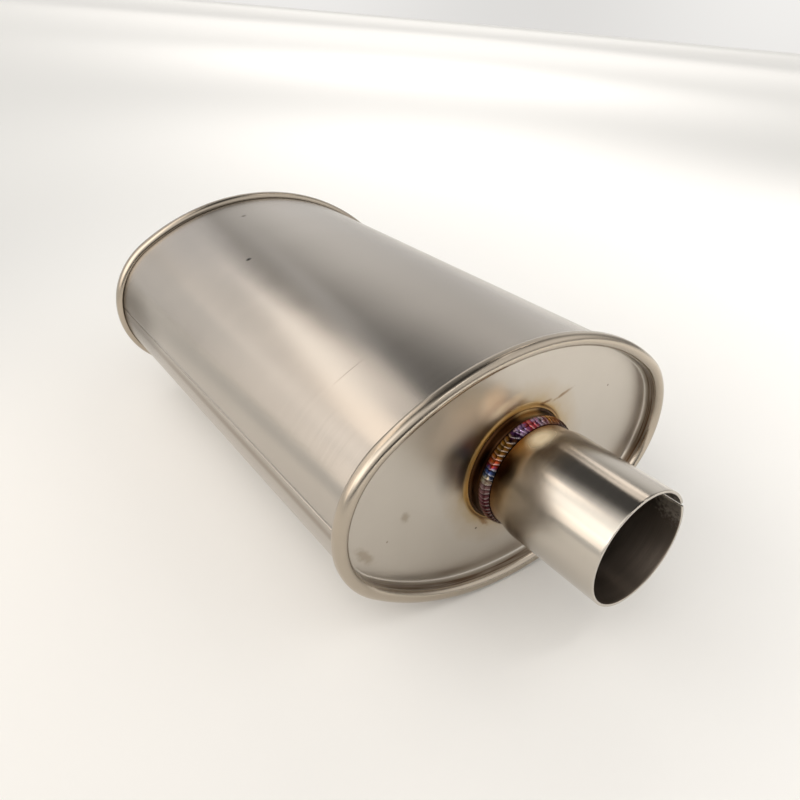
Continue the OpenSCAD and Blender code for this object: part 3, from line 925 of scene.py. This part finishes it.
near_mouth = Vector((0.21, -0.02, 0.02))
left_reach = 0.5
left_away = direction(-124, 24)
left_across = Vector((-left_away.y, left_away.x, 0)).normalized()
left_up = left_away.cross(left_across)
if left_up.z < 0:
    left_up.negate()
columns = ((-0.7, -0.45, "#fafbff"), (-0.45, -0.25, "#fff8f0"), (-0.25, -0.05, "#fff0e0"),
           (-0.05, 0.15, "#fff0e0"), (0.15, 0.4, "#fff0e0"))
rows = ((-0.22, -0.05), (-0.05, 0.1), (0.1, 0.22), (0.22, 0.32))
cloth = ((0, 0, 0.43, 1.16, 0),
         (0.45, 0.39, 0.59, 0.47, 0.99),
         (0, 1.78, 1.69, 0, 0),
         (0.38, 1.24, 0, 0, 0))
for (bottom, top), glows in zip(rows, cloth):
    for (start_m, end_m, tint), glow in zip(columns, glows):
        if glow:
            middle = left_across * (start_m + end_m) / 2 + left_up * (bottom + top) / 2
            lamp("left softbox", near_mouth + left_away * left_reach + middle, left_away,
                 end_m - start_m, top - bottom, glow, tint)
over_socket = Vector((0.21, 0, 0.02))
right_reach = 1.2
right_w = 0.19
right_h = 0.17
for az, el, glow in ((127, 48, 1.96), (136, 56, 1.56)):
    away = direction(az, el)
    lamp("right softbox", over_socket + away * right_reach, away, right_w, right_h, glow, "#fff5ea")
print("left softbox of", len(columns), "by", len(rows), "cloths")

# %% [markdown]
# Lamps overhead with narrow beams whiten the card all round. They stand aside and shine mostly past the
# muffler, so the steel mirrors the bright card and not the lamps, and its top stays darker along the middle.

# %% Floor lamps
overhead = Vector((0, 0, 1))
floor_lamps = (("back floor lamp", -1.0, 0.9, 1.6, 0.9, 0.76),
               ("right floor lamp", 0.3, 1.1, 1.6, 0.9, 1.04),
               ("front floor lamp", 1.3, 0.3, 1.6, 0.9, 2.72),
               ("middle floor lamp", -3.0, 2.4, 2.5, 2.5, 0.5),
               ("far floor lamp", -7.5, 6.0, 6.0, 8.0, 0.35),
               ("horizon floor lamp", -26.0, 20.0, 20.0, 24.0, 0.25))
for name, x, y, height, size, glow in floor_lamps:
    lamp(name, Vector((x, y, height)), overhead, size, size, glow, "#fffaf6", beam=60)
print(len(floor_lamps), "floor lamps")

# %% [markdown]
# The rest of the tent glows softly and unevenly, and it is nearly dark straight overhead. Each soft patch of
# sky is the angle to its middle turned into a brightness, and the patches add up.

# %% Light tent
tent = bpy.data.worlds.new("light tent")
bpy.context.scene.world = tent
tent.use_nodes = True
sky = tent.node_tree
towards = add(sky, "ShaderNodeTexCoord").outputs["Generated"]
patch_edge = cos(radians(45))
patch_core = cos(radians(11.25))
total = None
for az, el, glow in ((-180, 12, 0.28), (-135, 12, 0.64), (-90, 12, 0.43), (45, 12, 0.21), (90, 12, 0.28),
                     (135, 12, 0.74), (-180, 42, 0.09), (-90, 42, 1.42), (-45, 42, 1.05), (45, 42, 0.83)):
    near = add(sky, "ShaderNodeVectorMath", {0: towards, 1: direction(az, el)}, operation="DOT_PRODUCT")
    patch = add(sky, "ShaderNodeMapRange", {"Value": near.outputs["Value"], "From Min": patch_edge,
                                            "From Max": patch_core, "To Max": glow},
                interpolation_type="SMOOTHSTEP").outputs[0]
    total = patch if total is None else add(sky, "ShaderNodeMath", {0: total, 1: patch}).outputs[0]
backdrop = sky.nodes["Background"]
backdrop.inputs["Color"].default_value = chart("#fffdfa")
sky.links.new(total, backdrop.inputs["Strength"])
bpy.context.scene.view_settings.view_transform = "Standard"
print(len(sky.nodes), "nodes in the light tent")
